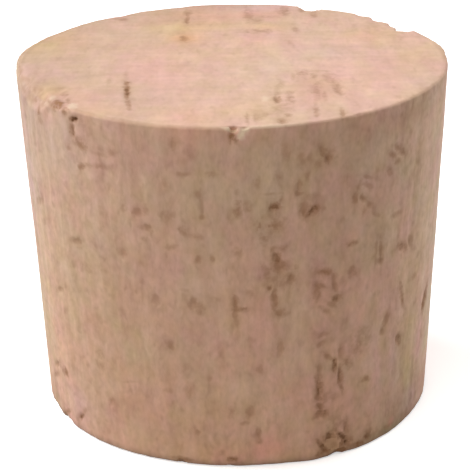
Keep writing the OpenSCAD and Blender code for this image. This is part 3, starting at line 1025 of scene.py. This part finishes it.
wide_hue = place.noise((6, 12, 9), detail=1, roughness=0.5, shift=0)
near_hue = place.noise((3, 6, 4.2), detail=0, roughness=0.5, shift=11)
close_hue = place.noise((1.3, 2.6, 1.8), detail=0, roughness=0.5, shift=15)
gold = place.noise((1.6, 3.2, 2.2), detail=1, roughness=0.6, shift=31)
cloud = place.noise((1.6, 4, 2.6), detail=2, roughness=0.5, shift=21)
streak = place.noise((0.8, 0.8, 4), detail=2, roughness=0.5, shift=5)
wide_streak = place.noise((2.4, 2.4, 14), detail=1, roughness=0.5, shift=7)
grains = place.noise((0.5, 1.1, 0.8), detail=1, roughness=0.5, shift=2)
smudge = place.noise((0.9, 2.2, 1.3), detail=1, roughness=0.5, shift=3).step(0.55, 0.8)
ring = place.noise((6, 1.3, 8), detail=1, roughness=0.6, shift=41)
mottle = place.noise((0.6, 0.8, 0.7), detail=2, roughness=0.55, shift=6).step(0.3, 0.65)
tear = place.noise((0.7, 0.9, 0.75), detail=2, roughness=0.55, shift=4)

# The ground colour: straw to rose by three sizes of noise, then the tones.
hue = wide_hue * wide_share + near_hue * near_share + close_hue * close_share
hue = hue.step(*straw_to_rose)
near_foot = 1 - z.past(foot_warmth_z)
near_rim = z.past(rim_coolness_z)
gold_side = (1 - x.past(gold_side_x)) * (1 - z.past(gold_side_z))
flank_colour = hue.mix(flank_straw, flank_rose)
flank_colour = near_foot.mix(flank_colour, flank_colour.times(foot_tone))
flank_colour = near_rim.mix(flank_colour, flank_colour.times(rim_tone))
flank_colour = gold_side.mix(flank_colour, flank_colour.times(side_tone))
colour = flank.mix(hue.mix(face_straw, face_rose), flank_colour)
gold = (gold - middle) * (face_gold + flank * flank_gold) + middle
colour = colour.times(gold.mix(cool_tone, gold_tone))
colour = colour.times(place.attribute("tone", "Vector"))

# The shade: noise everywhere, rings and painted shade at the edge of the face, and the zones.
shade = (streak - middle) * streak_shade + (wide_streak - middle) * wide_streak_shade
shade = shade * flank + (cloud - middle) * cloud_shade
shade = shade + (grains - middle) * (grain_shade + flank * flank_grain_shade)
shade = shade - smudge * (smudge_shade + flank * flank_smudge_shade)
# Painted shade on the rounded edge of the upper face, which dims the light that edge catches.
edge = (x * x + y * y).root().past(edge_r)
shade = shade + ((ring - middle) * ring_shade - edge * edge_shade) * (1 - flank)
# Painted shadow: a thin dark grey line along the foot, where the plug meets the table.
foot = 1 - z.past(foot_shadow_z)
# Painted shade: darker low down on the right, the side turned away from the main lamps.
shaded_low_right = (1 - z.past(shaded_low_right_z)) * x.past(shaded_low_right_x)
under_rim = z.past(under_rim_z) * x.past(under_rim_x) * flank
# Painted light: lighter low down at the front right, standing in for light thrown back from the
# table.
front_lit = (1 - z.past(front_lit_z)) * x.past(front_lit_left_x) * (1 - x.past(front_lit_right_x))
shade = shade - foot * foot_shadow_depth - shaded_low_right * shaded_low_right_shade
shade = shade - under_rim * under_rim_shade + front_lit * front_lit_shade
multiply_add = {"operation": "MULTIPLY_ADD"}
shade = place.node("ShaderNodeVectorMath", multiply_add, {0: shade, 1: shade_tone, 2: no_shade})
colour = colour.times(shade)
colour = (foot * foot_shadow_grey_share).mix(colour, foot_shadow_grey)


def blot(name, start, end, raggedness=2.2):
    """How deep a point lies in its nearest mark, from 0 to 1 times the mark's strength.
    The attribute holds the place across and along the mark, in half sizes, and the
    strength. Noise tears the oval."""
    in_mark = place.attribute(name, "Vector")
    a, b = in_mark.part(0), in_mark.part(1)
    away = (a * a + b * b).root() + (tear - middle) * raggedness
    return (1 - away.step(start, end)) * in_mark.part(2)


def flecked(amount, even, mottled):
    """The amount times the sum of an even share and a share that follows the mottle."""
    return amount * (even + mottle * mottled)


# The marks: pores with a halo, old stains and fresh spots, torn and worn cork at the edges darkened
# partly as painted shade, and the rear part of the upper face.
pit = blot("pore", start=0.4, end=1.6)
halo = blot("pore", start=0.8, end=3.2)
stain = blot("stain", start=0.1, end=1.9)
torn = place.attribute("torn", "Fac")
back = y.past(back_y) * (1 - flank)
deep = flecked(pit, even=0.7, mottled=0.3)
colour = (back * hue).mix(colour, colour.times(back_tone))
colour = flecked(stain, even=0.55, mottled=0.75).mix(colour, stain_brown)
colour = (0 - stain).mix(colour, fresh_cream_and_painted_light)
# Darker where the edges crumbled or wore away: the brown of broken cork, and painted shade over the
# worn round of the upper edge, which catches the light.
colour = flecked(torn, even=0.1, mottled=0.22).mix(colour, stain_brown)
colour = (halo * halo_share).mix(colour, stain_brown)
colour = (deep * pit_share).mix(colour, stain_brown)
colour = deep.step(*darkest).mix(colour, pore_brown)

relief = grains * grain_relief + streak * streak_relief + cloud * cloud_relief
relief = relief - stain * stain_relief - smudge * smudge_relief
bump_values = {"Strength": relief_strength, "Distance": relief_height, "Height": relief}
bump = place.node("ShaderNodeBump", {}, bump_values, "Normal")
cork.node_tree.links.new(colour.socket, skin.inputs["Base Color"])
cork.node_tree.links.new(bump.socket, skin.inputs["Normal"])
skin.inputs["Roughness"].default_value = skin_roughness
skin.inputs["Specular IOR Level"].default_value = skin_sheen

mesh.materials.append(cork)
plug = bpy.data.objects.new("cork_plug", mesh)
bpy.context.scene.collection.objects.link(plug)
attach(plug, "root")
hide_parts("stopper")


# ------------------------------------------------------------------ the table
# A white table top under the plug, white all round to the eye. It keeps the soft
# shadow under the plug, and throws a little of the light back at the flank.

table_reach = 0.5
table_white = (0.93, 0.93, 0.93, 1)
bounce_tone = (0.5, 0.48, 0.46, 1)
glow_to_white = 0.52
table_roughness = 0.9

table_mesh = bpy.data.meshes.new("table")
signs = ((-1, -1), (1, -1), (1, 1), (-1, 1))
table_corners = [(across * table_reach, along * table_reach, 0) for across, along in signs]
table_mesh.from_pydata(table_corners, [], [(0, 1, 2, 3)])
table = bpy.data.objects.new("table", table_mesh)
bpy.context.scene.collection.objects.link(table)

white = bpy.data.materials.new("white_table")
white.use_nodes = True
surface = white.node_tree.nodes["Principled BSDF"]
seen = Wire(white.node_tree.nodes.new("ShaderNodeLightPath").outputs["Is Camera Ray"])
tone = seen.mix(bounce_tone, table_white)
glow = seen * glow_to_white
white.node_tree.links.new(tone.socket, surface.inputs["Base Color"])
white.node_tree.links.new(glow.socket, surface.inputs["Emission Strength"])
surface.inputs["Emission Color"].default_value = (1, 1, 1, 1)
surface.inputs["Roughness"].default_value = table_roughness
table_mesh.materials.append(white)


# ------------------------------------------------------------------ the light
# A white studio: a faint warm light from all round, and four wide soft lamps, high on
# the left, low behind on each side, and in front.

room_strength = 0.146
room_colour = (1.15, 1, 0.85, 1)

world = bpy.data.worlds.new("white_room")
world.use_nodes = True
bpy.context.scene.world = world
sky = world.node_tree.nodes["Background"]
seen = Wire(world.node_tree.nodes.new("ShaderNodeLightPath").outputs["Is Camera Ray"])
strength = seen.blend(room_strength, 1.0)
tone = seen.mix(room_colour, (1, 1, 1, 1))
world.node_tree.links.new(strength.socket, sky.inputs["Strength"])
world.node_tree.links.new(tone.socket, sky.inputs["Color"])

lamp_size = 0.40
lamp_aim = Vector((0, 0, 0.02))
lamps = [
    # name, place in metres, watts, colour
    ("left_high", (-0.40, 0.10, 0.50), 2.75, (0.97, 1, 1.04)),
    ("left_behind", (-0.60, 0.30, 0.22), 2.07, (0.9, 1, 1.15)),
    ("right_behind", (0.58, 0.34, 0.20), 3.7, (0.97, 1, 1.05)),
    ("front", (-0.22, -0.50, 0.45), 1.71, (1.05, 1, 0.95)),
]
for name, lamp_place, watts, lamp_colour in lamps:
    light = bpy.data.lights.new(name, "AREA")
    light.size = lamp_size
    light.energy = watts
    light.color = lamp_colour
    lamp = bpy.data.objects.new(name, light)
    turned = (lamp_aim - Vector(lamp_place)).to_track_quat("-Z", "Y").to_matrix().to_4x4()
    lamp.matrix_world = Matrix.Translation(lamp_place) @ turned
    bpy.context.scene.collection.objects.link(lamp)


# ------------------------------------------------------------------ the camera
# A long lens near the plug, above its upper face and in front of it, that looks down at
# a slant and is turned by less than a degree.

eye = Vector((0, -0.1978, 0.0957))
gaze = Vector((-0.00024, 0.92949, -0.36886))
roll = math.radians(-0.93)
lens_length = 150.4
sensor_width = 36
nearest_seen = 0.01

camera_data = bpy.data.cameras.new("camera")
camera_data.sensor_width = sensor_width
camera_data.lens = lens_length
camera_data.clip_start = nearest_seen
camera = bpy.data.objects.new("camera", camera_data)
turned = gaze.to_track_quat("-Z", "Y").to_matrix().to_4x4() @ Matrix.Rotation(roll, 4, "Z")
camera.matrix_world = Matrix.Translation(eye) @ turned
bpy.context.scene.collection.objects.link(camera)
bpy.context.scene.camera = camera
bpy.context.scene.view_settings.view_transform = "Standard"
